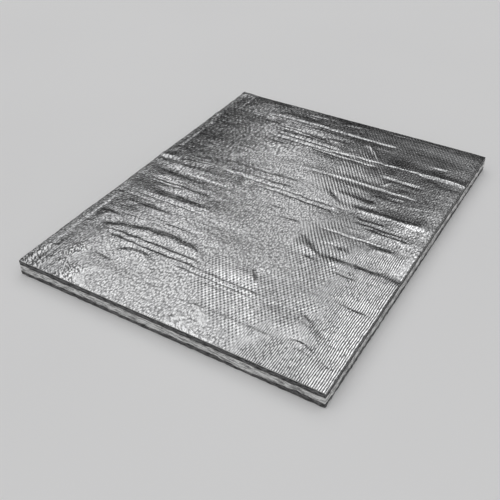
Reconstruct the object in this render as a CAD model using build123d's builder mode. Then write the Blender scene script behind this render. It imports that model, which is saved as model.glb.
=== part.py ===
from build123d import *
import os

# Ceramic fibre heat shield mat: one flat rectangular piece, cut square through a bonded stack of sheets.
# The origin is the centre of the underside. X runs across the mat, Y along it, and Z up out of the foil face.

os.makedirs("parts", exist_ok=True)

# The cut size of the whole stack, in millimetres.
mat_width = 239.0
mat_length = 305.0
cut_corner_radius = 0.5

# The sheets, from the underside up.
lower_mat_thickness = 3.1
fibre_core_thickness = 5.5
upper_mat_thickness = 3.5
foil_facing_thickness = 0.4

# Each sheet lies face to face on the one below it.
fibre_core_base = lower_mat_thickness
upper_mat_base = fibre_core_base + fibre_core_thickness
foil_facing_base = upper_mat_base + upper_mat_thickness
mat_height = foil_facing_base + foil_facing_thickness

# One knife cut trims every sheet, so they share this outline.
with BuildSketch() as cut_outline:
    RectangleRounded(mat_width, mat_length, cut_corner_radius)

# Dark needled fibre mat on the underside.
with BuildPart() as lower_mat:
    with BuildSketch():
        add(cut_outline.sketch)
    extrude(amount=lower_mat_thickness)

# Pale ceramic fibre layer, the thickest, in the middle.
with BuildPart() as fibre_core:
    with BuildSketch(Plane.XY.offset(fibre_core_base)):
        add(cut_outline.sketch)
    extrude(amount=fibre_core_thickness)

# Dark needled fibre mat under the facing.
with BuildPart() as upper_mat:
    with BuildSketch(Plane.XY.offset(upper_mat_base)):
        add(cut_outline.sketch)
    extrude(amount=upper_mat_thickness)

# Aluminium foil laminated on woven glass cloth, bonded over the whole top.
with BuildPart() as foil_facing:
    with BuildSketch(Plane.XY.offset(foil_facing_base)):
        add(cut_outline.sketch)
    extrude(amount=foil_facing_thickness)

lower_mat.part.label = "lower_mat"
export_step(lower_mat.part, "parts/lower_mat.step")

fibre_core.part.label = "fibre_core"
export_step(fibre_core.part, "parts/fibre_core.step")

upper_mat.part.label = "upper_mat"
export_step(upper_mat.part, "parts/upper_mat.step")

foil_facing.part.label = "foil_facing"
export_step(foil_facing.part, "parts/foil_facing.step")

print(f"stack height {mat_height:.2f} mm")
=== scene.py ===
import math
import bpy
import numpy as np
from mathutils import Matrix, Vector, geometry


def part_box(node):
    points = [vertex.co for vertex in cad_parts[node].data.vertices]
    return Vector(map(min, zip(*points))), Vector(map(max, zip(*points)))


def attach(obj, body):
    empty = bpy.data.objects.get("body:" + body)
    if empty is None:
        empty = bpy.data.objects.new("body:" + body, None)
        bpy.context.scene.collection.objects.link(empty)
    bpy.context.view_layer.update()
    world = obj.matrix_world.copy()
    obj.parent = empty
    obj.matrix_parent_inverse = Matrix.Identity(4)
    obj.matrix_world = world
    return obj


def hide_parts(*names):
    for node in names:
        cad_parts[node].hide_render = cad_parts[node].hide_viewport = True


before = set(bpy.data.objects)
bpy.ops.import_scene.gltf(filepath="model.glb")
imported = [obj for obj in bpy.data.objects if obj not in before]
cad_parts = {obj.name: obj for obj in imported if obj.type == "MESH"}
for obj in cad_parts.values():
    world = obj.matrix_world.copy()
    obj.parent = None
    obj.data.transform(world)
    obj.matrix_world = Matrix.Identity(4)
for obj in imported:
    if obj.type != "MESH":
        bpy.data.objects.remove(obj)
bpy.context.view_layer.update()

# Lower dark mat
# The layer that the stack rests on: a charcoal needled fibre mat, about 3 mm thick.
# It is bonded under the pale fibre, and one knife cut trims it flush with the rest.
mm = 0.001
lower_low, lower_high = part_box("lower_mat")
half_width = lower_high.x
half_length = lower_high.y
corner_radius = 0.5 * mm
corner_steps = 3
edge_step = 0.8 * mm
lower_mat_row = 0.4 * mm


def ripples(x, y, z, size, seed, waves=16):
    """Smooth random hills, about one unit high. size gives their length in metres along X, Y and Z."""
    dice = np.random.default_rng(seed)
    total = np.zeros(np.broadcast(x, y, z).shape)
    for _ in range(waves):
        way = dice.normal(size=3)
        way *= dice.uniform(0.6, 1.5) / np.linalg.norm(way)
        turns = way[0] * x / size[0] + way[1] * y / size[1] + way[2] * z / size[2]
        total += np.cos(2 * np.pi * (turns + dice.uniform()))
    return total / math.sqrt(waves / 2)


def cut_outline(step):
    """Points round the knife cut, anticlockwise seen from above, and the way out of the edge at each."""
    points = []
    ways_out = []
    for quarter in range(4):
        out = np.array([(0, -1), (1, 0), (0, 1), (-1, 0)][quarter], float)
        along = np.array([-out[1], out[0]])
        reach_out, reach_along = (half_length, half_width) if quarter % 2 == 0 else (half_width, half_length)
        straight = reach_along - corner_radius
        for place in np.linspace(-straight, straight, round(2 * straight / step) + 1):
            points.append(out * reach_out + along * place)
            ways_out.append(out)
        for part in range(1, corner_steps):
            turn = math.radians(90 * part / corner_steps)
            way = out * math.cos(turn) + along * math.sin(turn)
            points.append(out * (reach_out - corner_radius) + along * straight + way * corner_radius)
            ways_out.append(way)
    return np.array(points), np.array(ways_out)


def cap(ring, spacing):
    """The points inside a ring, spacing apart, and the triangles that fill it with them."""
    low = ring.min(axis=0) + spacing / 2
    high = ring.max(axis=0) - spacing / 2
    across = np.linspace(low[0], high[0], round((high[0] - low[0]) / spacing) + 1)
    along = np.linspace(low[1], high[1], round((high[1] - low[1]) / spacing) + 1)
    inside = np.stack(np.meshgrid(across, along), axis=-1).reshape(-1, 2)
    corners = [Vector(point) for point in np.vstack([ring, inside])]
    triangles_inside = 1
    made = geometry.delaunay_2d_cdt(corners, [], [range(len(ring))], triangles_inside, 1e-9)
    source = [which[0] for which in made[3]]
    return inside, [[source[corner] for corner in face] for face in made[2]]


def piece_from(name, points, faces, smooth):
    """A mesh piece of those points and faces, smooth where smooth says so for each face."""
    mesh = bpy.data.meshes.new(name)
    mesh.from_pydata(points, [], faces)
    mesh.polygons.foreach_set("use_smooth", smooth)
    mesh.update()
    piece = bpy.data.objects.new(name, mesh)
    bpy.context.scene.collection.objects.link(piece)
    return piece


def cut_layer(name, floor_of, roof_of, row, push, cap_spacing):
    """One trimmed layer. floor_of and roof_of give its lower and upper height at a place,
    and push how far its cut edge stands out at a place and a share of its height."""
    ring, ways_out = cut_outline(edge_step)
    count = len(ring)
    floor = floor_of(ring[:, 0], ring[:, 1])
    roof = roof_of(ring[:, 0], ring[:, 1])
    rows = round(float((roof - floor).mean()) / row)
    share = np.linspace(0, 1, rows + 1)[:, None]
    z = floor + share * (roof - floor)
    x = np.broadcast_to(ring[:, 0], z.shape)
    y = np.broadcast_to(ring[:, 1], z.shape)
    out = push(x, y, z, share)
    side = np.stack([x + out * ways_out[:, 0], y + out * ways_out[:, 1], z], axis=-1).reshape(-1, 3)
    here = np.arange(count)
    after = np.roll(here, -1)
    walls = [
        face
        for level in range(rows)
        for face in np.stack([here, after, after + count, here + count], axis=1) + level * count
    ]
    faces = [list(map(int, face)) for face in walls]
    points = [side]
    made = len(side)
    for start, height_of, flipped in ((0, floor_of, True), (rows * count, roof_of, False)):
        inside, triangles = cap(side[start:start + count, :2], cap_spacing)
        heights = height_of(inside[:, 0], inside[:, 1])
        points.append(np.column_stack([inside, heights]))
        for triangle in triangles:
            face = [start + corner if corner < count else made + corner - count for corner in triangle]
            faces.append(face[::-1] if flipped else face)
        made += len(inside)
    smooth = [True] * len(walls) + [False] * (len(faces) - len(walls))
    return piece_from(name, np.vstack(points), faces, smooth)


def underside(x, y):
    """Height of the face that rests on the floor."""
    return np.full(np.shape(x), lower_low.z)


def lower_seam(x, y):
    """Height of the uneven joint between the lower mat and the pale fibre."""
    slow = 0.42 * mm * ripples(x, y, 0, (0.045, 0.045, 1), seed=11)
    quick = 0.24 * mm * ripples(x, y, 0, (0.010, 0.010, 1), seed=12)
    furthest = 1.4 * mm
    return lower_high.z + np.clip(slow + quick, -furthest, furthest)


def lower_push(x, y, z, share):
    """How far the lower mat's cut edge stands out: drawn in by the knife at both seams, and tufted."""
    pulled_in = -0.18 * mm * (2 * share - 1) ** 4
    tufts = 0.12 * mm * ripples(x, y, z, (0.005, 0.005, 0.0011), seed=13)
    return pulled_in + tufts


def feed(tree, socket, value):
    """Link an input to another node's output, or set it to a value."""
    if isinstance(value, bpy.types.NodeSocket):
        tree.links.new(value, socket)
    else:
        socket.default_value = value


def add_node(tree, kind, inputs=(), **settings):
    """A shader node with those settings, and its inputs fed."""
    made = tree.nodes.new("ShaderNode" + kind)
    for name, value in settings.items():
        setattr(made, name, value)
    for key, value in dict(inputs).items():
        feed(tree, made.inputs[key], value)
    return made


def reckon(tree, operation, first, second=0.0, third=0.0, clamp=False):
    """The output of a Math node."""
    made = add_node(tree, "Math", {0: first, 1: second, 2: third}, operation=operation, use_clamp=clamp)
    return made.outputs[0]


def spread_of(tree, value, from_low, from_high, to_low=0.0, to_high=1.0):
    """A value carried smoothly from one range to another, and held at its ends."""
    inputs = {"Value": value, "From Min": from_low, "From Max": from_high}
    inputs["To Min"] = to_low
    inputs["To Max"] = to_high
    return add_node(tree, "MapRange", inputs, interpolation_type="SMOOTHSTEP").outputs["Result"]


def new_group(name, inputs, outputs):
    """A shader node group with named sockets: its tree, its input sockets and its output node."""
    tree = bpy.data.node_groups.new(name, "ShaderNodeTree")
    for socket, kind, value in inputs:
        made = tree.interface.new_socket(socket, in_out="INPUT", socket_type="NodeSocket" + kind)
        if value is not None:
            made.default_value = value
    for socket, kind in outputs:
        tree.interface.new_socket(socket, in_out="OUTPUT", socket_type="NodeSocket" + kind)
    entry = tree.nodes.new("NodeGroupInput")
    result = tree.nodes.new("NodeGroupOutput")
    return tree, entry.outputs, result


def place_group(tree, group, inputs):
    """The outputs of a node group placed in a tree, with its inputs fed."""
    made = tree.nodes.new("ShaderNodeGroup")
    made.node_tree = group
    for key, value in inputs.items():
        feed(tree, made.inputs[key], value)
    return made.outputs


def millimetres(tree):
    """The place on the piece, in millimetres."""
    place = add_node(tree, "TexCoord").outputs["Object"]
    scale = {0: place, 1: (1000, 1000, 1000)}
    return add_node(tree, "VectorMath", scale, operation="MULTIPLY").outputs[0]


def stretched(tree, place, across, along, up):
    """The place, measured in those lengths."""
    lengths = add_node(tree, "CombineXYZ", {0: across, 1: along, 2: up}).outputs[0]
    return add_node(tree, "VectorMath", {0: place, 1: lengths}, operation="DIVIDE").outputs[0]


def noise_at(tree, place, scale, detail, roughness=0.5, distortion=0.0):
    """The outputs of a noise texture."""
    inputs = {"Vector": place, "Scale": scale, "Detail": detail, "Roughness": roughness}
    inputs["Distortion"] = distortion
    return add_node(tree, "TexNoise", inputs).outputs


def build_fibre_layers():
    """Matted fibre as a cut shows it: flat streaks that follow the layer, and single strands over them."""
    inputs = [
        ("Place", "Vector", None),
        ("Streak Length", "Float", 9.0),
        ("Streak Thickness", "Float", 0.8),
        ("Strand Length", "Float", 3.0),
        ("Strand Thickness", "Float", 0.25),
    ]
    outputs = [("Streaks", "Float"), ("Strands", "Float"), ("Height", "Float")]
    tree, given, result = new_group("fibre_layers", inputs, outputs)
    flat = stretched(tree, given["Place"], given["Streak Length"], given["Streak Length"],
                     given["Streak Thickness"])
    streaks = noise_at(tree, flat, 1.0, detail=4.0, roughness=0.6)["Fac"]
    fine = stretched(tree, given["Place"], given["Strand Length"], given["Strand Length"],
                     given["Strand Thickness"])
    tangle = noise_at(tree, fine, 1.0, detail=3.0, roughness=0.55, distortion=0.6)["Fac"]
    off_middle = reckon(tree, "ABSOLUTE", reckon(tree, "SUBTRACT", tangle, 0.5))
    strands = spread_of(tree, off_middle, 0.0, 0.09, 1.0, 0.0)
    height = reckon(tree, "MULTIPLY_ADD", strands, 0.4, streaks)
    tree.links.new(spread_of(tree, streaks, 0.3, 0.7), result.inputs["Streaks"])
    tree.links.new(strands, result.inputs["Strands"])
    tree.links.new(height, result.inputs["Height"])
    return tree


fibre_layers = build_fibre_layers()


def mix_in(tree, share, first, second):
    """The first colour turning into the second by share. Each is a link, or red, green and blue."""
    made = add_node(tree, "Mix", data_type="RGBA")
    for name, value in (("Factor", share), ("A", first), ("B", second)):
        socket = next(s for s in made.inputs if s.name == name and s.enabled)
        feed(tree, socket, value if isinstance(value, bpy.types.NodeSocket) else (*value, 1))
    return next(s for s in made.outputs if s.enabled)


def new_material(name):
    """A material, its node tree and its shader."""
    material = bpy.data.materials.new(name)
    material.use_nodes = True
    tree = material.node_tree
    return material, tree, tree.nodes["Principled BSDF"]


def dark_felt(name, deep, worn, speck, speck_share, seams):
    """Charcoal needled fibre: near black in its hollows, greyer on its strands, with a few pale specks.
    Painted shade turns it near black close to each height in seams, given in millimetres: shadow lines along
    its seams and under the facing, and for the felt below, contact shadow where it rests on the floor."""
    material, tree, shader = new_material(name)
    place = millimetres(tree)
    sizes = {"Place": place, "Streak Length": 4.5, "Streak Thickness": 0.9, "Strand Length": 2.2,
             "Strand Thickness": 0.3}
    felt = place_group(tree, fibre_layers, sizes)
    strand_share = 0.25
    mottled = reckon(tree, "MULTIPLY", spread_of(tree, felt["Streaks"], 0.2, 0.8), 1 - strand_share)
    greyer = reckon(tree, "MULTIPLY_ADD", felt["Strands"], strand_share, mottled)
    up = add_node(tree, "SeparateXYZ", {0: place}).outputs[2]
    shade_within = 0.3
    shade_clear_beyond = 1.0
    seam_shade_brightness = 0.1
    # Painted shade: within a band round each of these heights the felt's colour is darkened, to a tenth at
    # the height itself.
    for seam in seams:
        off_seam = reckon(tree, "ABSOLUTE", reckon(tree, "SUBTRACT", up, seam))
        seam_shade = spread_of(tree, off_seam, shade_within, shade_clear_beyond, seam_shade_brightness, 1.0)
        greyer = reckon(tree, "MULTIPLY", greyer, seam_shade)
    cloth = mix_in(tree, greyer, deep, worn)
    dots = noise_at(tree, place, 0.9, detail=2.0, roughness=0.7)["Fac"]
    specks = spread_of(tree, dots, 1 - speck_share, 1 - speck_share + 0.06)
    tree.links.new(mix_in(tree, specks, cloth, speck), shader.inputs["Base Color"])
    tree.links.new(spread_of(tree, felt["Streaks"], 0.0, 1.0, 0.98, 0.82), shader.inputs["Roughness"])
    bump = add_node(tree, "Bump", {"Height": felt["Height"], "Strength": 0.7, "Distance": 0.25 * mm})
    tree.links.new(bump.outputs[0], shader.inputs["Normal"])
    shader.inputs["Specular IOR Level"].default_value = 0.25
    shader.inputs["Sheen Weight"].default_value = 0.1
    shader.inputs["Sheen Roughness"].default_value = 0.6
    return material


hidden_face_spacing = 8 * mm
lower_dark_felt = cut_layer("lower_dark_felt", underside, lower_seam, lower_mat_row, lower_push,
                            hidden_face_spacing)
# Painted contact shadow: the felt below darkens towards the face that rests on the floor.
felt_below = dark_felt("charcoal_felt_below", deep=(0.014, 0.014, 0.015), worn=(0.19, 0.19, 0.192),
                       speck=(0.34, 0.34, 0.33), speck_share=0.36, seams=(lower_low.z / mm,))
lower_dark_felt.data.materials.append(felt_below)
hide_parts("lower_mat")
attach(lower_dark_felt, "root")

# Pale fibre core
# The thick middle layer: soft ceramic fibre, off-white to pale grey, laid down in flat swirls.
# It is needled to the dark mats, and its cut edge shows the swirls as streaks.
core_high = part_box("fibre_core")[1]
core_row = 0.45 * mm
upper_seam_drop = 0.3 * mm


def upper_seam(x, y):
    """Height of the nearly straight joint between the pale fibre and the upper mat."""
    slow = 0.10 * mm * ripples(x, y, 0, (0.060, 0.060, 1), seed=21)
    quick = 0.08 * mm * ripples(x, y, 0, (0.008, 0.008, 1), seed=22)
    return core_high.z - upper_seam_drop + slow + quick


def core_push(x, y, z, share):
    """How far the core's cut edge stands out, with the ends of its swirls."""
    pulled_in = -0.20 * mm * (2 * share - 1) ** 4
    swirls = 0.12 * mm * ripples(x, y, z, (0.013, 0.013, 0.0016), seed=23)
    tufts = 0.11 * mm * ripples(x, y, z, (0.004, 0.004, 0.0010), seed=24)
    return pulled_in + swirls + tufts


def pale_wool():
    """Ceramic fibre on a cut: pale grey with whiter and greyer streaks along the layer."""
    material, tree, shader = new_material("pale_ceramic_fibre")
    place = millimetres(tree)
    sizes = {"Place": place, "Streak Length": 8.0, "Streak Thickness": 0.95, "Strand Length": 4.0,
             "Strand Thickness": 0.35}
    wool = place_group(tree, fibre_layers, sizes)
    whiter = spread_of(tree, wool["Streaks"], 0.2, 0.8)
    greys = mix_in(tree, whiter, (0.16, 0.16, 0.162), (0.90, 0.90, 0.895))
    strand_share = 0.5
    strands = reckon(tree, "MULTIPLY", wool["Strands"], strand_share)
    tree.links.new(mix_in(tree, strands, greys, (0.95, 0.95, 0.94)), shader.inputs["Base Color"])
    tree.links.new(spread_of(tree, wool["Strands"], 0.0, 1.0, 0.95, 0.8), shader.inputs["Roughness"])
    bump = add_node(tree, "Bump", {"Height": wool["Height"], "Strength": 0.8, "Distance": 0.3 * mm})
    tree.links.new(bump.outputs[0], shader.inputs["Normal"])
    shader.inputs["Specular IOR Level"].default_value = 0.3
    shader.inputs["Sheen Weight"].default_value = 0.15
    shader.inputs["Sheen Roughness"].default_value = 0.5
    return material


pale_fibre_core = cut_layer("pale_fibre_core", lower_seam, upper_seam, core_row, core_push,
                            hidden_face_spacing)
pale_fibre_core.data.materials.append(pale_wool())
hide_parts("fibre_core")
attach(pale_fibre_core, "root")

# Upper dark mat
# A second charcoal needled fibre mat, bonded over the pale fibre, with the facing glued on top of it.
# Its top dips a little all round, where the cut pressed the facing down, and most along the right edge.
upper_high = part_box("upper_mat")[1]
upper_mat_row = 0.45 * mm
roll_width = 13 * mm
roll_depth = 0.12 * mm
right_roll_factor = 3.0


def edge_roll(x, y):
    """How far the top dips towards each cut edge."""
    to_side = np.clip(1 - (half_width - np.abs(x)) / roll_width, 0, 1)
    to_end = np.clip(1 - (half_length - np.abs(y)) / roll_width, 0, 1)
    deeper_right = np.where(x > 0, right_roll_factor, 1.0)
    return -roll_depth * (deeper_right * to_side ** 2 + to_end ** 2)


def facing_seam(x, y):
    """Height of the upper mat's top, where the facing is glued on."""
    return upper_high.z + edge_roll(x, y)


def upper_push(x, y, z, share):
    """How far the upper mat's cut edge stands out."""
    pulled_in = -0.22 * mm * (2 * share - 1) ** 4
    tufts = 0.09 * mm * ripples(x, y, z, (0.006, 0.006, 0.0012), seed=31)
    return pulled_in + tufts


upper_dark_felt = cut_layer("upper_dark_felt", upper_seam, facing_seam, upper_mat_row, upper_push,
                            hidden_face_spacing)
# Painted shade lines: the felt above darkens at its joint with the pale fibre and at its top under the
# facing.
upper_felt_shade_lines = ((core_high.z - upper_seam_drop) / mm, upper_high.z / mm)
felt_above = dark_felt("charcoal_felt_above", deep=(0.012, 0.012, 0.013), worn=(0.20, 0.201, 0.203),
                       speck=(0.26, 0.26, 0.26), speck_share=0.30, seams=upper_felt_shade_lines)
upper_dark_felt.data.materials.append(felt_above)
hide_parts("upper_mat")
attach(upper_dark_felt, "root")

# Foil facing
# Woven glass cloth with aluminium foil laminated on it, glued over the whole top of the stack.
# Rolling and handling left long shallow creases across it, and the knife left its left edge a little ragged.
facing_low, facing_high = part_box("foil_facing")
facing_thickness = facing_high.z - facing_low.z
facing_row = 0.55 * mm
mat_width = 2 * half_width / mm
mat_length = 2 * half_length / mm

# Each crease is a line of points, in millimetres from the left long edge and from the near short edge,
# then its rise, positive where the foil climbs away from the near edge, its pinch, positive for a ridge
# and negative for a groove, and its width.
creases_across = [
    # far end
    ([(150, 299), (192, 299.5), (222, 298.5)], 0.00, -0.11, 0.8),
    ([(8, 301), (30, 301.5), (58, 301)], -0.16, 0.00, 2.4),
    ([(74, 296), (98, 295)], 0.05, -0.11, 0.9),
    ([(74, 292), (92, 291)], 0.00, -0.11, 0.9),
    ([(42, 279), (95, 280.5), (140, 279.5), (172, 279.5)], 0.14, -0.30, 1.0),
    ([(90, 276), (125, 275), (162, 276)], -0.12, 0.00, 1.2),
    ([(26, 271), (48, 271)], 0.00, -0.20, 0.8),
    ([(40, 267), (62, 267)], -0.13, 0.00, 1.0),
    ([(62, 265.5), (95, 264)], 0.00, -0.23, 1.2),
    ([(64, 261.5), (88, 260), (112, 257)], 0.14, -0.14, 1.0),
    ([(78, 260), (114, 259.5)], -0.18, 0.00, 1.2),
    ([(58, 252.5), (90, 252), (130, 250)], 0.05, -0.23, 1.1),
    ([(3, 253), (30, 252.5), (60, 252)], 0.00, -0.11, 0.8),
    ([(58, 246.5), (90, 246), (126, 245)], 0.10, -0.32, 1.1),
    ([(120, 246.5), (150, 248), (200, 248.8), (252, 248)], 0.10, -0.25, 0.9),
    ([(198, 249), (222, 249), (254, 248)], 0.34, 0.00, 1.2),
    ([(104, 243), (140, 241.5), (172, 242)], 0.05, -0.25, 0.9),
    ([(142, 238), (172, 238.5)], -0.12, 0.00, 1.0),
    ([(60, 237.5), (84, 237)], -0.14, 0.00, 1.0),
    ([(8, 243), (40, 242)], -0.10, 0.00, 1.4),
    ([(172, 232.5), (196, 231), (214, 231)], 0.17, 0.00, 1.0),
    ([(176, 228), (212, 227.5)], -0.12, 0.00, 0.9),
    ([(96, 210), (140, 212), (216, 211.5)], 0.16, -0.08, 0.7),
    ([(192, 206), (208, 206)], 0.10, 0.10, 1.0),
    ([(176, 202), (212, 201)], -0.08, 0.00, 1.2),
    # middle
    ([(48, 190), (90, 189), (124, 190)], -0.21, 0.00, 1.6),
    ([(96, 187), (120, 186.5)], 0.16, 0.00, 1.0),
    ([(150, 193), (190, 191)], -0.20, 0.00, 2.1),
    ([(30, 184), (72, 183), (104, 184)], -0.10, 0.00, 1.4),
    ([(166, 181), (198, 179), (230, 181)], -0.21, 0.00, 1.8),
    ([(18, 178), (48, 178.5)], 0.00, -0.18, 0.8),
    ([(20, 174), (48, 174.5)], 0.00, -0.18, 0.8),
    ([(56, 179.5), (90, 179), (122, 179)], -0.21, 0.00, 1.0),
    ([(56, 174), (110, 173.5), (178, 172.5)], 0.09, -0.31, 1.0),
    ([(172, 176), (205, 177), (228, 177), (254, 174)], 0.20, 0.00, 1.8),
    ([(224, 180), (240, 175), (254, 168)], -0.08, 0.00, 1.4),
    ([(96, 168.5), (130, 168), (172, 166.5)], 0.07, -0.29, 1.0),
    ([(-8, 164), (20, 163.5), (54, 164.5)], -0.25, 0.06, 1.1),
    ([(178, 167), (208, 167)], -0.18, 0.00, 1.0),
    ([(180, 161), (226, 160.5)], -0.16, 0.04, 1.0),
    ([(188, 157), (232, 156.5)], -0.14, 0.00, 0.9),
    ([(32, 154), (58, 153.5), (80, 154)], 0.22, 0.00, 0.8),
    ([(10, 149), (60, 148)], -0.11, 0.00, 1.4),
    ([(158, 142.5), (190, 142.8), (222, 143.5)], 0.06, -0.18, 0.8),
    ([(200, 140), (226, 140.5)], -0.14, 0.00, 1.5),
    ([(126, 140), (152, 140)], -0.09, 0.00, 0.9),
    ([(206, 137), (226, 136)], 0.12, 0.00, 0.9),
    ([(14, 139), (42, 140)], 0.12, 0.00, 0.8),
    ([(13, 135.8), (47, 136.3)], 0.00, -0.20, 0.8),
    ([(15, 132.3), (48, 132.6)], 0.05, -0.22, 0.8),
    ([(46, 135), (78, 134)], -0.14, 0.00, 0.9),
    ([(20, 126), (60, 127)], 0.10, 0.00, 1.6),
    ([(24, 119.5), (55, 120), (86, 118.5)], -0.26, 0.00, 2.2),
    ([(20, 112), (50, 111.5), (84, 112)], 0.04, -0.22, 0.9),
    ([(10, 107), (44, 107)], 0.00, -0.17, 0.8),
    ([(176, 127), (205, 126)], -0.22, 0.00, 2.3),
    ([(176, 114), (205, 113.5), (252, 111)], -0.18, 0.05, 2.0),
    ([(164, 107), (183, 105.5)], -0.15, 0.00, 1.1),
    ([(184, 105), (214, 104)], -0.09, 0.00, 1.0),
    ([(188, 100.5), (216, 99.5)], -0.12, 0.00, 0.9),
    ([(110, 100), (150, 98)], -0.09, 0.00, 1.0),
    # near end
    ([(22, 99.5), (62, 99.5)], -0.14, 0.00, 1.0),
    ([(50, 87.5), (70, 88), (94, 87)], -0.15, 0.06, 1.0),
    ([(64, 91), (95, 90.5)], 0.10, 0.00, 0.9),
    ([(22, 84), (48, 83.8)], 0.00, -0.19, 0.8),
    ([(20, 64), (45, 72.5), (85, 75.5), (120, 60.5)], -0.36, 0.06, 2.2),
    ([(60, 69.5), (112, 68.5)], 0.20, 0.00, 1.7),
    ([(26, 61.5), (60, 63), (122, 60)], -0.22, 0.05, 1.1),
    ([(48, 59), (100, 58.5)], 0.14, 0.00, 0.9),
    ([(31, 57), (60, 57), (110, 55.8), (168, 54)], -0.22, 0.00, 1.0),
    ([(94, 51.4), (130, 50.8), (162, 49.5)], -0.08, -0.32, 1.0),
    ([(116, 45.5), (154, 45)], -0.12, 0.00, 0.9),
    ([(48, 43), (58, 49), (72, 50), (86, 40)], -0.46, 0.08, 1.3),
    ([(36, 34), (62, 33)], -0.08, 0.00, 0.9),
    ([(120, 25), (160, 25), (196, 25.5)], -0.12, 0.00, 0.9),
    ([(190, 54), (202, 49), (214, 40), (236, 36)], -0.22, 0.10, 1.1),
    ([(192, 47), (204, 43), (216, 35), (234, 31)], -0.15, 0.04, 0.9),
    ([(196, 22), (206, 29), (220, 23.5), (237, 18)], -0.26, 0.12, 1.0),
    ([(200, 19), (210, 23), (222, 18), (236, 13)], -0.16, 0.06, 0.9),
    ([(208, 73.5), (220, 72), (237, 70.5)], -0.15, 0.06, 0.9),
]

# These run the other way, up the mat. Their rise is positive where the foil climbs away from the left edge.
creases_along = [
    ([(6.8, -6), (7.0, 50), (7.0, 106)], -0.13, 0.00, 0.7),
    ([(6.6, 172), (7.2, 210), (6.8, 250)], -0.10, 0.00, 0.7),
    ([(12.5, -4), (12.3, 40)], 0.00, 0.08, 0.7),
    ([(15.5, 268), (16, 312)], 0.00, -0.14, 0.9),
    ([(18, 64), (17, 80)], -0.12, 0.00, 0.8),
    ([(86, 158), (86.5, 182)], -0.14, 0.00, 0.9),
    ([(199.5, 143), (201.5, 160)], 0.00, 0.24, 1.1),
    ([(181.5, 216), (185, 227)], 0.00, 0.16, 1.2),
    ([(158.5, 50), (158, 64)], -0.10, 0.00, 1.0),
    ([(84, 30), (83, 42)], 0.10, 0.00, 1.0),
    ([(79, 48), (84.5, 42), (86, 32)], -0.10, -0.34, 1.3),
    ([(145, 275), (155, 264), (166, 250)], 0.00, 0.20, 1.1),
    ([(145, 194), (162, 177)], -0.20, 0.06, 1.5),
    ([(157, 130), (168, 119), (183, 108)], -0.42, 0.08, 2.4),
    ([(142, 85), (161, 53)], -0.75, 0.08, 2.4),
]

# Handling left many more short shallow ones, mostly along the short way, and more of them on the left.
small_crease_count = 150


def small_creases(seed):
    """Lines with a rise, pinch and width, as above, at random places."""
    dice = np.random.default_rng(seed)
    made = []
    for _ in range(small_crease_count):
        middle = mat_width * dice.uniform(0.02, 1) ** 1.25
        level = dice.uniform(4, mat_length - 4)
        half = dice.uniform(4, 15)
        slant = dice.normal(0, 0.05) * half
        line = [(middle - half, level - slant), (middle + half, level + slant)]
        made.append((line, dice.normal(0, 0.05), dice.normal(0, 0.04), dice.uniform(0.7, 1.0)))
    return made


def climb(off, width):
    """A short steep slope that eases back to the level on both sides."""
    reach = 5.5 * width + 1.5
    return np.tanh(off / width) * np.exp(-(off / reach) ** 2)


def crease_relief(across, along, creases, seed):
    """Height of those creases in millimetres, where across is the way that they run."""
    total = np.zeros(across.shape)
    meander = 0.25 * ripples(across, along, 0, (16, 60, 1), seed)
    strength = 1.25 + 0.32 * ripples(across, along, 0, (22, 60, 1), seed + 1)
    for points, rise, pinch, width in creases:
        run, level = np.array(points).T
        order = np.argsort(run)
        run, level = run[order], level[order]
        line = np.polynomial.Polynomial.fit(run, level, len(points) - 1)
        slant = math.hypot(1, (level[-1] - level[0]) / (run[-1] - run[0]))
        low, high = level.min() - 25, level.max() + 25
        here = (across > run[0]) & (across < run[-1]) & (along > low) & (along < high)
        place = across[here]
        off = (along[here] - line(place) + meander[here]) / slant
        taper = min(12, 0.4 * (run[-1] - run[0]))
        ends = np.clip(np.minimum(place - run[0], run[-1] - place) / taper, 0, 1)
        fade = ends * ends * (3 - 2 * ends) * strength[here]
        total[here] += fade * (rise * climb(off, width) + pinch * np.exp(-(off / width) ** 2))
    return total


def turned(creases):
    """The same creases with their two ways exchanged."""
    return [([(b, a) for a, b in line], rise, pinch, width) for line, rise, pinch, width in creases]


def from_edges(x, y):
    """A place in millimetres from the left long edge and from the near short edge."""
    return (x + half_width) / mm, (y + half_length) / mm


def lifted(x, y):
    """How far the facing stands off the mat, at two folded spots and the far left corner."""
    from_left, from_near = from_edges(x, y)
    fold = 1.0 * np.exp(-(from_left / 9) ** 2 - ((from_near - 169.5) / 3.6) ** 2)
    nub = 0.5 * np.exp(-(from_left / 5) ** 2 - ((from_near - 254) / 3.0) ** 2)
    corner = 0.6 * np.exp(-(from_left / 13) ** 4 - ((mat_length - from_near) / 9) ** 2)
    return (fold + nub + corner) * mm


def foil_height(x, y):
    """Height of the foil's top. The relief is in millimetres, and it flattens towards the cut edges."""
    from_left, from_near = from_edges(x, y)
    level = 0.12
    relief = level + crease_relief(from_left, from_near, creases_across, seed=41)
    relief += crease_relief(from_near, from_left, turned(creases_along), seed=43)
    relief += crease_relief(from_left, from_near, small_creases(seed=48), seed=49)
    relief += 0.11 * ripples(from_left, from_near, 0, (75, 30, 1), seed=45)
    relief += 0.014 * ripples(from_left, from_near, 0, (20, 8, 1), seed=46)
    relief += 0.006 * ripples(from_left, from_near, 0, (7, 3.5, 1), seed=47)
    to_edge = np.minimum(half_width - np.abs(x), half_length - np.abs(y)) / mm
    flat_band = 6
    edge_share = 0.65
    relief *= edge_share + (1 - edge_share) * np.clip(to_edge / flat_band, 0, 1)
    lowest = -0.28
    relief = np.maximum(relief, lowest)
    return facing_high.z + edge_roll(x, y) + lifted(x, y) + relief * mm


# The mesh's columns are closer together at both edges and where creases run up the mat. Each stretch is
# its start, its end and its spacing, in millimetres from the left edge.
column_stretches = ((0, 19, 0.75), (19, 139, 2.2), (139, 189, 1.05), (189, 235, 2.2), (235, 239, 0.8))


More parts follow.
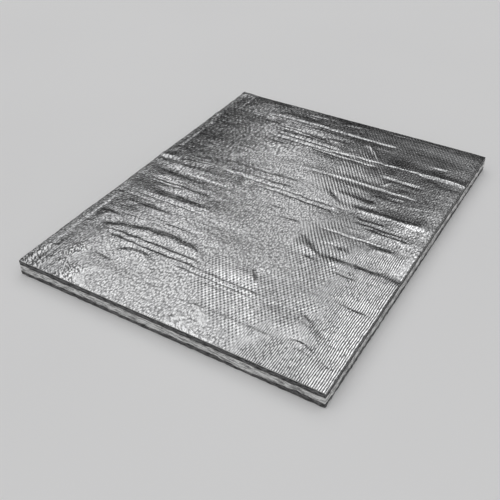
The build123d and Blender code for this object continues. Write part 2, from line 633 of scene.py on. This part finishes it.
def facing_columns():
    """The places of the mesh's columns across the mat."""
    places = [[0]]
    for start, end, spacing in column_stretches:
        places.append(np.linspace(start, end, round((end - start) / spacing) + 1)[1:])
    return np.concatenate(places) * mm - half_width


edge_band = 3 * mm


def near_edge(place, half_size):
    """A share that climbs from 0, a band away from both edges, to 1 on them."""
    return np.clip(1 - (half_size - np.abs(place)) / edge_band, 0, 1)


def ragged(x, y):
    """How far the knife's tearing has set the facing's edge back: most on the left, then on the far edge."""
    nicks = np.maximum(0, ripples(x, y, 0, (0.0045, 0.0045, 1), seed=51)) * 0.22
    waver = 0.10 * (1 + ripples(x, y, 0, (0.018, 0.018, 1), seed=52))
    left = np.clip(1 - (x + half_width) / edge_band, 0, 1)
    far = 0.5 * np.clip(1 - (half_length - y) / edge_band, 0, 1)
    others = 0.12
    deepest = 0.6
    return np.clip(others + left + far, 0, 1) * np.clip(nicks + waver, 0, deepest) * mm


def build_facing():
    """The facing as one closed mesh, and each face's material slot: 0 on the foil, 1 on its cut and below."""
    columns = facing_columns()
    rows = np.linspace(-half_length, half_length, round(2 * half_length / facing_row) + 1)
    x, y = np.meshgrid(columns, rows)
    set_back = ragged(x, y)
    pull_x = near_edge(x, half_width) * np.sign(x)
    pull_y = near_edge(y, half_length) * np.sign(y)
    x = x - set_back * pull_x
    y = y - set_back * pull_y
    top = np.stack([x, y, foil_height(x, y)], axis=-1).reshape(-1, 3)
    across, along = len(columns), len(rows)
    index = np.arange(across * along).reshape(along, across)
    sheet = np.stack([index[:-1, :-1], index[:-1, 1:], index[1:, 1:], index[1:, :-1]], axis=-1)
    faces = sheet.reshape(-1, 4).tolist()
    ring = np.concatenate([index[0, :-1], index[:-1, -1], index[-1, :0:-1], index[:0:-1, 0]])
    count = len(ring)
    edge = top[ring]
    under_edge = edge - (0, 0, facing_thickness)
    underside_spacing = 3 * mm
    inside, triangles = cap(edge[:, :2], underside_spacing)
    under_heights = facing_low.z + edge_roll(*inside.T) + lifted(*inside.T)
    under = np.column_stack([inside, under_heights])
    first_under = len(top)
    here = np.arange(count)
    after = np.roll(here, -1)
    rim = np.stack([first_under + here, first_under + after, ring[after], ring[here]], axis=1).tolist()
    bottom = [[first_under + corner for corner in triangle[::-1]] for triangle in triangles]
    smooth = [True] * len(faces) + [False] * (len(rim) + len(bottom))
    piece = piece_from("foil_faced_cloth", np.vstack([top, under_edge, under]), faces + rim + bottom, smooth)
    slots = [0] * len(faces) + [1] * (len(rim) + len(bottom))
    return piece, slots


def build_plain_weave():
    """Plain weave seen through the foil, from 0 in the gaps to 1 on the yarns. The ridge share joins the
    crossings into lines along the warp, and the slant share into lines across both."""
    inputs = [
        ("Place", "Vector", None),
        ("Warp Pitch", "Float", 1.41),
        ("Weft Pitch", "Float", 2.13),
        ("Ridge Share", "Float", 0.5),
        ("Slant Share", "Float", 0.0),
        ("Unevenness", "Float", 1.0),
        ("Gap Width", "Float", 0.0),
    ]
    outputs = [("Height", "Float"), ("Gaps", "Float"), ("Crossing", "Float"), ("Painted Shade", "Float")]
    tree, given, result = new_group("plain_weave", inputs, outputs)
    parts = add_node(tree, "SeparateXYZ", {0: given["Place"]}).outputs
    warp_count = reckon(tree, "DIVIDE", parts[0], given["Warp Pitch"])
    weft_count = reckon(tree, "DIVIDE", parts[1], given["Weft Pitch"])
    warp = reckon(tree, "COSINE", reckon(tree, "MULTIPLY", warp_count, math.pi))
    weft = reckon(tree, "COSINE", reckon(tree, "MULTIPLY", weft_count, math.pi))
    crossing = reckon(tree, "MULTIPLY", warp, weft)
    both = reckon(tree, "MULTIPLY", reckon(tree, "ADD", warp_count, weft_count), math.pi)
    slant_more = reckon(tree, "SUBTRACT", reckon(tree, "COSINE", both), crossing)
    pattern = reckon(tree, "MULTIPLY_ADD", slant_more, given["Slant Share"], crossing)
    checks = reckon(tree, "MULTIPLY_ADD", pattern, 0.5, 0.5)
    ridge = reckon(tree, "ABSOLUTE", warp)
    ridge_more = reckon(tree, "SUBTRACT", ridge, checks)
    level = reckon(tree, "MULTIPLY_ADD", ridge_more, given["Ridge Share"], checks)
    warp_number = reckon(tree, "ROUND", warp_count)
    weft_number = reckon(tree, "ROUND", weft_count)
    which = add_node(tree, "CombineXYZ", {0: warp_number, 1: weft_number}).outputs[0]
    dice = add_node(tree, "TexWhiteNoise", {"Vector": which}, noise_dimensions="3D").outputs
    chance = dice["Value"]
    leans = add_node(tree, "SeparateColor", {0: dice["Color"]}).outputs
    from_warp = reckon(tree, "SUBTRACT", warp_count, warp_number)
    from_weft = reckon(tree, "SUBTRACT", weft_count, weft_number)
    lean_warp = reckon(tree, "MULTIPLY", reckon(tree, "SUBTRACT", leans[0], 0.5), from_warp)
    lean_weft = reckon(tree, "MULTIPLY", reckon(tree, "SUBTRACT", leans[1], 0.5), from_weft)
    steepest = 1.6
    leaning = reckon(tree, "MULTIPLY", reckon(tree, "ADD", lean_warp, lean_weft),
                     reckon(tree, "MULTIPLY", given["Unevenness"], steepest))
    spread = 0.6
    uneven = reckon(tree, "MULTIPLY_ADD", reckon(tree, "MULTIPLY_ADD", chance, spread, -spread / 2),
                    given["Unevenness"], 1.0)
    over_gap = reckon(tree, "SUBTRACT", reckon(tree, "MULTIPLY", level, uneven), given["Gap Width"])
    gaps = spread_of(tree, over_gap, 0.20, 0.62, 1.0, 0.0)
    height = reckon(tree, "MULTIPLY", level, reckon(tree, "ADD", uneven, leaning))
    # Painted shade: some crossings, picked at random, get a share that darkens the colour as if they were
    # turned away from the light.
    on_crossing = spread_of(tree, reckon(tree, "ABSOLUTE", crossing), 0.0, 0.5)
    shade_pick = reckon(tree, "MULTIPLY", spread_of(tree, leans[2], 0.25, 0.65, 1.0, 0.0), on_crossing)
    tree.links.new(height, result.inputs["Height"])
    tree.links.new(gaps, result.inputs["Gaps"])
    tree.links.new(chance, result.inputs["Crossing"])
    tree.links.new(shade_pick, result.inputs["Painted Shade"])
    return tree


plain_weave = build_plain_weave()


def chain(tree, operation, first, *others):
    """Those values, joined one after the other by a Math operation."""
    for other in others:
        first = reckon(tree, operation, first, other)
    return first


def product(tree, *values):
    return chain(tree, "MULTIPLY", *values)


def largest(tree, *values):
    return chain(tree, "MAXIMUM", *values)


def total(tree, *values):
    return chain(tree, "ADD", *values)


def astray(tree, place, noise, reach):
    """The place, shifted by a noise's colour, by half of reach in millimetres at the most."""
    middle_grey = (0.5, 0.5, 0.5)
    centred = add_node(tree, "VectorMath", {0: noise["Color"], 1: middle_grey}, operation="SUBTRACT")
    shifted = {0: centred.outputs[0], 1: (reach, reach, 0.0), 2: place}
    return add_node(tree, "VectorMath", shifted, operation="MULTIPLY_ADD").outputs[0]


# Areas where the foil looks different. Each has its left, right, near and far border, in millimetres from the
# middle of the mat, and the blur on each side of them. Some reach beyond the mat's edge.
beyond = 300
foil_areas = {
    "right_ribs": (86, beyond, -beyond, -26, 9),
    "corner_ribs": (52, beyond, -beyond, -126, 10),
    "far_slant": (14, 60, 24, 110, 14),
    "middle_slant": (40, 92, -52, -8, 12),
    "corner_slant": (16, 112, 112, beyond, 10),
    "near_dots": (-20, 100, -beyond, -86, 14),
    "right_dots": (46, 94, -120, -34, 10),
    "left_crush": (-beyond, -66, -beyond, -128, 10),
    "middle_crush": (10, 42, -beyond, -146, 4),
    # Painted shade dims the foil outside the next area and inside the one after it.
    "undimmed": (-92, beyond, -beyond, 120, 28),
    "dimmed_strip": (50, 100, -beyond, beyond, 12),
}
stray_across = 90.0
stray_along = -110.0


def zone(tree, parts, wander, left, right, near, far, blur):
    """A soft mask of one area, whose borders wander."""
    x = reckon(tree, "MULTIPLY_ADD", wander, stray_across, parts[0])
    y = reckon(tree, "MULTIPLY_ADD", wander, stray_along, parts[1])
    sides = product(tree, spread_of(tree, x, left - blur, left + blur),
                    spread_of(tree, x, right - blur, right + blur, 1.0, 0.0))
    ends = product(tree, spread_of(tree, y, near - blur, near + blur),
                   spread_of(tree, y, far - blur, far + blur, 1.0, 0.0))
    return product(tree, sides, ends)


def foil_zones(tree, place, parts):
    """Masks of how the foil looks, by name."""
    patches = noise_at(tree, place, 0.03, detail=3.0, roughness=0.6)["Fac"]
    wander = reckon(tree, "SUBTRACT", patches, 0.5)
    area = {name: zone(tree, parts, wander, *borders) for name, borders in foil_areas.items()}

    # The cloth shows as ribs along the right edge, as slanting lines and as dots. The dots by the near edge
    # end on the left at a border that leans over.
    ribbed = largest(tree, area["right_ribs"], area["corner_ribs"])
    faint_corner = product(tree, area["corner_slant"], 0.8)
    slanting = largest(tree, area["far_slant"], area["middle_slant"], faint_corner)
    dots_lean = 0.78
    dots_border = reckon(tree, "MULTIPLY_ADD", parts[1], dots_lean, parts[0])
    dots_border = reckon(tree, "MULTIPLY_ADD", wander, stray_across, dots_border)
    near_dots = product(tree, area["near_dots"], spread_of(tree, dots_border, -84, -60))
    dotted = largest(tree, near_dots, area["right_dots"])

    # The foil is crushed at the left end of the near edge, and less at a spot in the middle of it.
    crushed = largest(tree, area["left_crush"], product(tree, area["middle_crush"], 0.8))
    uncrushed = reckon(tree, "SUBTRACT", 1.0, crushed)
    clear = product(tree, largest(tree, ribbed, slanting, dotted), uncrushed)

    # It is crinkled most on the left, and buckled in the far left corner.
    wide_stray = 160.0
    rightward = reckon(tree, "MULTIPLY_ADD", wander, wide_stray, parts[0])
    corner_stray = 150.0
    to_corner = reckon(tree, "SUBTRACT", parts[1], parts[0])
    to_corner = reckon(tree, "MULTIPLY_ADD", wander, corner_stray, to_corner)

    # Painted shade: its colour is dimmed along the left and far edges, and in a strip towards the right, to
    # deepen the dark parts of its reflection.
    dimmed_edges = reckon(tree, "SUBTRACT", 1.0, area["undimmed"])
    painted_dimming = largest(tree, product(tree, dimmed_edges, 0.42), product(tree, area["dimmed_strip"], 0.3))
    return {
        "ribbed": ribbed,
        "slanting": slanting,
        "dotted": dotted,
        "clear": clear,
        "crushed": crushed,
        "uncrushed": uncrushed,
        "crinkled": spread_of(tree, rightward, -75, 25, 1.0, 0.12),
        "buckled": spread_of(tree, to_corner, 102, 110),
        "frayed": spread_of(tree, parts[0], -119.0, -112.0, 1.0, 0.0),
        "painted_dimming": painted_dimming,
    }


def crumple_shade(tree, place, across, along):
    """Painted shade of fine crumpling in facets that size: 0 on a bright facet, up to darkest in the folds
    round it and on facets picked at random as if turned away from the light. The crumpling has no height.
    """
    spot = stretched(tree, place, across, along, 1.0)
    facets = add_node(tree, "TexVoronoi", {"Vector": spot, "Scale": 1.0, "Randomness": 0.85},
                      feature="F1", voronoi_dimensions="2D").outputs
    folded = spread_of(tree, facets["Distance"], 0.28, 0.58)
    dice = add_node(tree, "SeparateColor", {0: facets["Color"]}).outputs
    shaded_facet = spread_of(tree, dice[2], 0.0, 0.8, 0.7, 0.0)
    darkest = 0.96
    return product(tree, largest(tree, folded, shaded_facet), darkest)


def folded_foil(tree, place, parts, bend, loose, zones):
    """The folds of the foil itself: how much painted shade darkens them, and their height in millimetres."""
    # Broken rucks wander along the warp.
    sizes = {"Place": astray(tree, place, bend, 3.0), "Warp Pitch": 1.9, "Weft Pitch": 2.9,
             "Ridge Share": 0.45, "Unevenness": 1.0, "Gap Width": 0.12}
    rucks = place_group(tree, plain_weave, sizes)
    rucked = product(tree, rucks["Gaps"], reckon(tree, "MULTIPLY_ADD", rucks["Crossing"], 0.4, 0.2))

    # Short lines run across the warp.
    crinkle = noise_at(tree, stretched(tree, place, 7.0, 1.5, 2.0), 1.0, detail=1.0)["Fac"]
    off_line = reckon(tree, "ABSOLUTE", reckon(tree, "SUBTRACT", crinkle, 0.5))
    crinkled = product(tree, spread_of(tree, off_line, 0.0, 0.06, 1.0, 0.0), zones["crinkled"], 0.7)

    # Painted shade of fine crumpling lies over both, with no height of its own, coarser in the far left
    # corner, where the foil has buckled.
    unbuckled = reckon(tree, "SUBTRACT", 1.0, zones["buckled"])
    fine = product(tree, crumple_shade(tree, place, across=1.2, along=2.3), unbuckled)
    coarse = product(tree, crumple_shade(tree, place, across=2.1, along=3.5), zones["buckled"])

    # Where it is crushed, the dents lie aslant.
    aslant = add_node(tree, "CombineXYZ", {0: reckon(tree, "ADD", parts[0], parts[1]),
                                           1: reckon(tree, "SUBTRACT", parts[0], parts[1])}).outputs[0]
    crush = noise_at(tree, stretched(tree, aslant, 2.0, 6.0, 1.0), 1.0, detail=1.0)["Fac"]
    dented = product(tree, spread_of(tree, crush, 0.43, 0.53, 1.0, 0.0), zones["crushed"])

    # Painted shade: folds is how far the gaps between rucks, the crinkle lines, the crumpling and the dents
    # darken the foil's colour.
    folds = largest(tree, rucked, crinkled, fine, coarse)
    folds = largest(tree, product(tree, folds, zones["uncrushed"]), dented)
    ruck_height = product(tree, rucks["Height"], loose, 0.07)
    crinkle_height = product(tree, crinkle, reckon(tree, "MULTIPLY_ADD", zones["crinkled"], 0.04, 0.02))
    dent_height = product(tree, crush, zones["crushed"], 0.4)
    return folds, total(tree, ruck_height, crinkle_height, dent_height)


def foil_on_cloth():
    """Satin aluminium foil pressed into the cloth's weave, finely crumpled where the cloth shows less, with
    painted shade in its gaps and folds.
    """
    material, tree, shader = new_material("foil_on_glass_cloth")
    place = millimetres(tree)
    parts = add_node(tree, "SeparateXYZ", {0: place}).outputs
    zones = foil_zones(tree, place, parts)
    drift = noise_at(tree, place, 0.03, detail=1.0)
    bend = noise_at(tree, place, 0.12, detail=2.0, roughness=0.6)
    yarn_place = astray(tree, place, drift, 2.0)

    # The weave shows as slanting lines and dots, and very faintly elsewhere.
    sizes = {"Place": yarn_place, "Ridge Share": 0.03, "Slant Share": product(tree, zones["slanting"], 0.5)}
    weave = place_group(tree, plain_weave, sizes)
    dots_show = spread_of(tree, zones["dotted"], 0.0, 0.7, 0.0, 0.95)
    cloth_shows = largest(tree, product(tree, zones["slanting"], 0.75), dots_show)
    cloth_shows = reckon(tree, "SUBTRACT", cloth_shows, zones["ribbed"], clamp=True)
    faintest = 0.15
    woven = reckon(tree, "MULTIPLY_ADD", cloth_shows, 1 - faintest, faintest)
    woven = product(tree, woven, zones["uncrushed"])
    weave_height = product(tree, weave["Height"], woven, 0.09)
    # Painted shade: the weave's gaps and some of its crossings are marked to darken the colour.
    cloth_gap_shade = product(tree, weave["Gaps"], woven)
    crossing_shade = product(tree, weave["Painted Shade"], zones["clear"], 0.4)

    # Towards the right edge it shows as ribs along the warp.
    sizes = {"Place": astray(tree, yarn_place, bend, 1.2), "Warp Pitch": 1.5, "Ridge Share": 0.8,
             "Unevenness": 0.9, "Gap Width": 0.22}
    ribs = place_group(tree, plain_weave, sizes)
    rib_height = product(tree, ribs["Height"], zones["ribbed"], 0.08)
    # Painted shade: the gaps between the ribs are marked to darken the colour.
    rib_gap_shade = product(tree, ribs["Gaps"], zones["ribbed"])

    # Where the cloth shows less, the foil is loose on it and folded.
    loosest = 0.9
    held = product(tree, zones["clear"], zones["clear"], 0.8)
    loose = reckon(tree, "SUBTRACT", loosest, held)
    folds, fold_height = folded_foil(tree, place, parts, bend, loose, zones)
    # Painted shade: the folds darken the colour most where the foil is loose.
    fold_shade = product(tree, folds, loose, 0.95)

    # The torn left edge is frayed.
    fray = noise_at(tree, place, 0.55, detail=2.0, roughness=0.6)["Fac"]
    fray_height = product(tree, fray, zones["frayed"], 0.45)
    height = total(tree, weave_height, rib_height, fold_height, fray_height)
    bump = add_node(tree, "Bump", {"Height": height, "Strength": 1.0, "Distance": mm})
    tree.links.new(bump.outputs[0], shader.inputs["Normal"])

    # The metal is a little smudged. Painted shade dims it in broad areas and turns it near black in the
    # weave's gaps, on some crossings and facets, and in the folds.
    smudged = noise_at(tree, place, 0.05, detail=5.0, roughness=0.6)["Fac"]
    bright_foil = mix_in(tree, smudged, (0.86, 0.865, 0.875), (0.97, 0.972, 0.975))
    # Painted shade: the silver dims to a dark grey in those areas.
    silver = mix_in(tree, zones["painted_dimming"], bright_foil, (0.30, 0.305, 0.31))
    painted_shade = product(tree, largest(tree, cloth_gap_shade, rib_gap_shade, crossing_shade, fold_shade), 0.95)
    tree.links.new(mix_in(tree, painted_shade, silver, (0.06, 0.061, 0.064)), shader.inputs["Base Color"])
    tree.links.new(spread_of(tree, smudged, 0.25, 0.75, 0.14, 0.22), shader.inputs["Roughness"])
    shader.inputs["Metallic"].default_value = 1.0
    return material


def cut_cloth_edge():
    """The facing's own cut edge: glass yarn ends under the foil, with glue between them."""
    material, tree, shader = new_material("cut_glass_cloth")
    place = millimetres(tree)
    weave = place_group(tree, plain_weave, {"Place": place})
    colour = mix_in(tree, weave["Gaps"], (0.55, 0.55, 0.54), (0.10, 0.10, 0.10))
    tree.links.new(colour, shader.inputs["Base Color"])
    tree.links.new(spread_of(tree, weave["Gaps"], 0.0, 1.0, 0.5, 0.85), shader.inputs["Roughness"])
    bump = add_node(tree, "Bump", {"Height": weave["Height"], "Strength": 0.6, "Distance": 0.15 * mm})
    tree.links.new(bump.outputs[0], shader.inputs["Normal"])
    return material


foil_faced_cloth, facing_slots = build_facing()
foil_faced_cloth.data.materials.append(foil_on_cloth())
foil_faced_cloth.data.materials.append(cut_cloth_edge())
foil_faced_cloth.data.polygons.foreach_set("material_index", facing_slots)
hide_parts("foil_facing")
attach(foil_faced_cloth, "root")

# Studio
# A plain pale floor in a pale surround. Softboxes stand round the mat, and the world is dark only ahead of
# the camera, where the foil mirrors it: that gives the foil its dark bands and bright patches.
# The camera looks down on the near right corner, as in the photograph.
floor_size = 12.0
floor_mesh = bpy.data.meshes.new("studio_floor")
reach = floor_size / 2
floor_mesh.from_pydata([(-reach, -reach, 0), (reach, -reach, 0), (reach, reach, 0), (-reach, reach, 0)], [],
                       [(0, 1, 2, 3)])
studio_floor = bpy.data.objects.new("studio_floor", floor_mesh)
bpy.context.scene.collection.objects.link(studio_floor)

floor_material, floor_tree, floor_shader = new_material("pale_floor")
floor_place = add_node(floor_tree, "TexCoord").outputs["Object"]
floor_cloud = noise_at(floor_tree, floor_place, 3.0, detail=2.0)["Fac"]
floor_colour = mix_in(floor_tree, floor_cloud, (0.80, 0.80, 0.805), (0.86, 0.86, 0.862))
floor_tree.links.new(floor_colour, floor_shader.inputs["Base Color"])
floor_shader.inputs["Roughness"].default_value = 0.9
floor_shader.inputs["Specular IOR Level"].default_value = 0.1
floor_mesh.materials.append(floor_material)

world = bpy.data.worlds.new("studio")
bpy.context.scene.world = world
world.use_nodes = True
sky = world.node_tree
sky_way = add_node(sky, "TexCoord").outputs["Generated"]
sky_height = add_node(sky, "SeparateXYZ", {0: sky_way}).outputs[2]
horizon_colour = (0.55, 0.55, 0.552, 1)


def sky_greys(levels, overhead):
    """The horizon's colour, turning into a grey at each of those heights, and into another one overhead."""
    made = add_node(sky, "ValToRGB", {0: sky_height})
    ramp = made.color_ramp
    ramp.interpolation = "EASE"
    ramp.elements[0].position = 0.0
    ramp.elements[0].color = horizon_colour
    ramp.elements[1].position = 1.0
    ramp.elements[1].color = (overhead, overhead, overhead, 1)
    for position, level in levels:
        stop = ramp.elements.new(position)
        stop.color = (level, level, level, 1)
    return made.outputs[0]


# Each pair is a height, from 0 at the horizon to 1 overhead, and the grey there.
surround_levels = ((0.2, 0.42), (0.55, 0.5), (0.8, 0.8))
screen_levels = ((0.16, 0.42), (0.26, 0.06), (0.44, 0.04), (0.52, 0.13), (0.60, 0.34), (0.72, 0.82),
                 (0.86, 1.2))
sky_surround = sky_greys(surround_levels, overhead=0.9)
sky_screen = sky_greys(screen_levels, overhead=0.4)
screen_heading = (-0.515, 0.857, 0)
sky_ahead = add_node(sky, "VectorMath", {0: sky_way, 1: screen_heading}, operation="DOT_PRODUCT")
screen_share = spread_of(sky, sky_ahead.outputs["Value"], -0.3, 0.6)
sky_colour = mix_in(sky, screen_share, sky_surround, sky_screen)
sky.links.new(sky_colour, sky.nodes["Background"].inputs["Color"])
sky.nodes["Background"].inputs["Strength"].default_value = 1.0

# Each softbox has its place, its width and height, all in metres, and its power in watts.
lamps = (
    ("softbox", (-0.545, 1.094, 0.783), 0.20, 0.34, 0.19),
    ("left_softbox", (-0.813, 0.732, 0.951), 0.56, 0.38, 0.38),
    ("right_softbox", (-0.150, 1.067, 1.09), 0.20, 0.40, 0.28),
    ("corner_softbox", (-0.25, 0.78, 1.13), 0.22, 0.22, 0.12),
    ("far_softbox", (-0.12, 1.32, 0.82), 0.16, 0.22, 0.03),
    ("front_softbox", (0.55, -1.0, 1.3), 0.9, 0.9, 1.6),
)
for lamp_name, lamp_place, lamp_width, lamp_height, lamp_power in lamps:
    lamp = bpy.data.objects.new(lamp_name, bpy.data.lights.new(lamp_name, "AREA"))
    bpy.context.scene.collection.objects.link(lamp)
    lamp.location = lamp_place
    lamp.rotation_mode = "QUATERNION"
    lamp.rotation_quaternion = (-lamp.location).to_track_quat("-Z", "Y")
    lamp.data.shape = "RECTANGLE"
    lamp.data.size = lamp_width
    lamp.data.size_y = lamp_height
    lamp.data.energy = lamp_power

camera_place = Vector((0.2282, -0.4196, 0.3385))
camera_aim = Vector((0.0138, -0.0600, 0.0125))
camera_lens = 53.76
camera = bpy.data.objects.new("camera", bpy.data.cameras.new("camera"))
bpy.context.scene.collection.objects.link(camera)
camera.location = camera_place
camera.rotation_mode = "QUATERNION"
camera.rotation_quaternion = (camera_aim - camera_place).to_track_quat("-Z", "Y")
camera.data.sensor_width = 36.0
camera.data.lens = camera_lens
camera.data.clip_start = 0.01
bpy.context.scene.camera = camera
bpy.context.scene.view_settings.view_transform = "Standard"
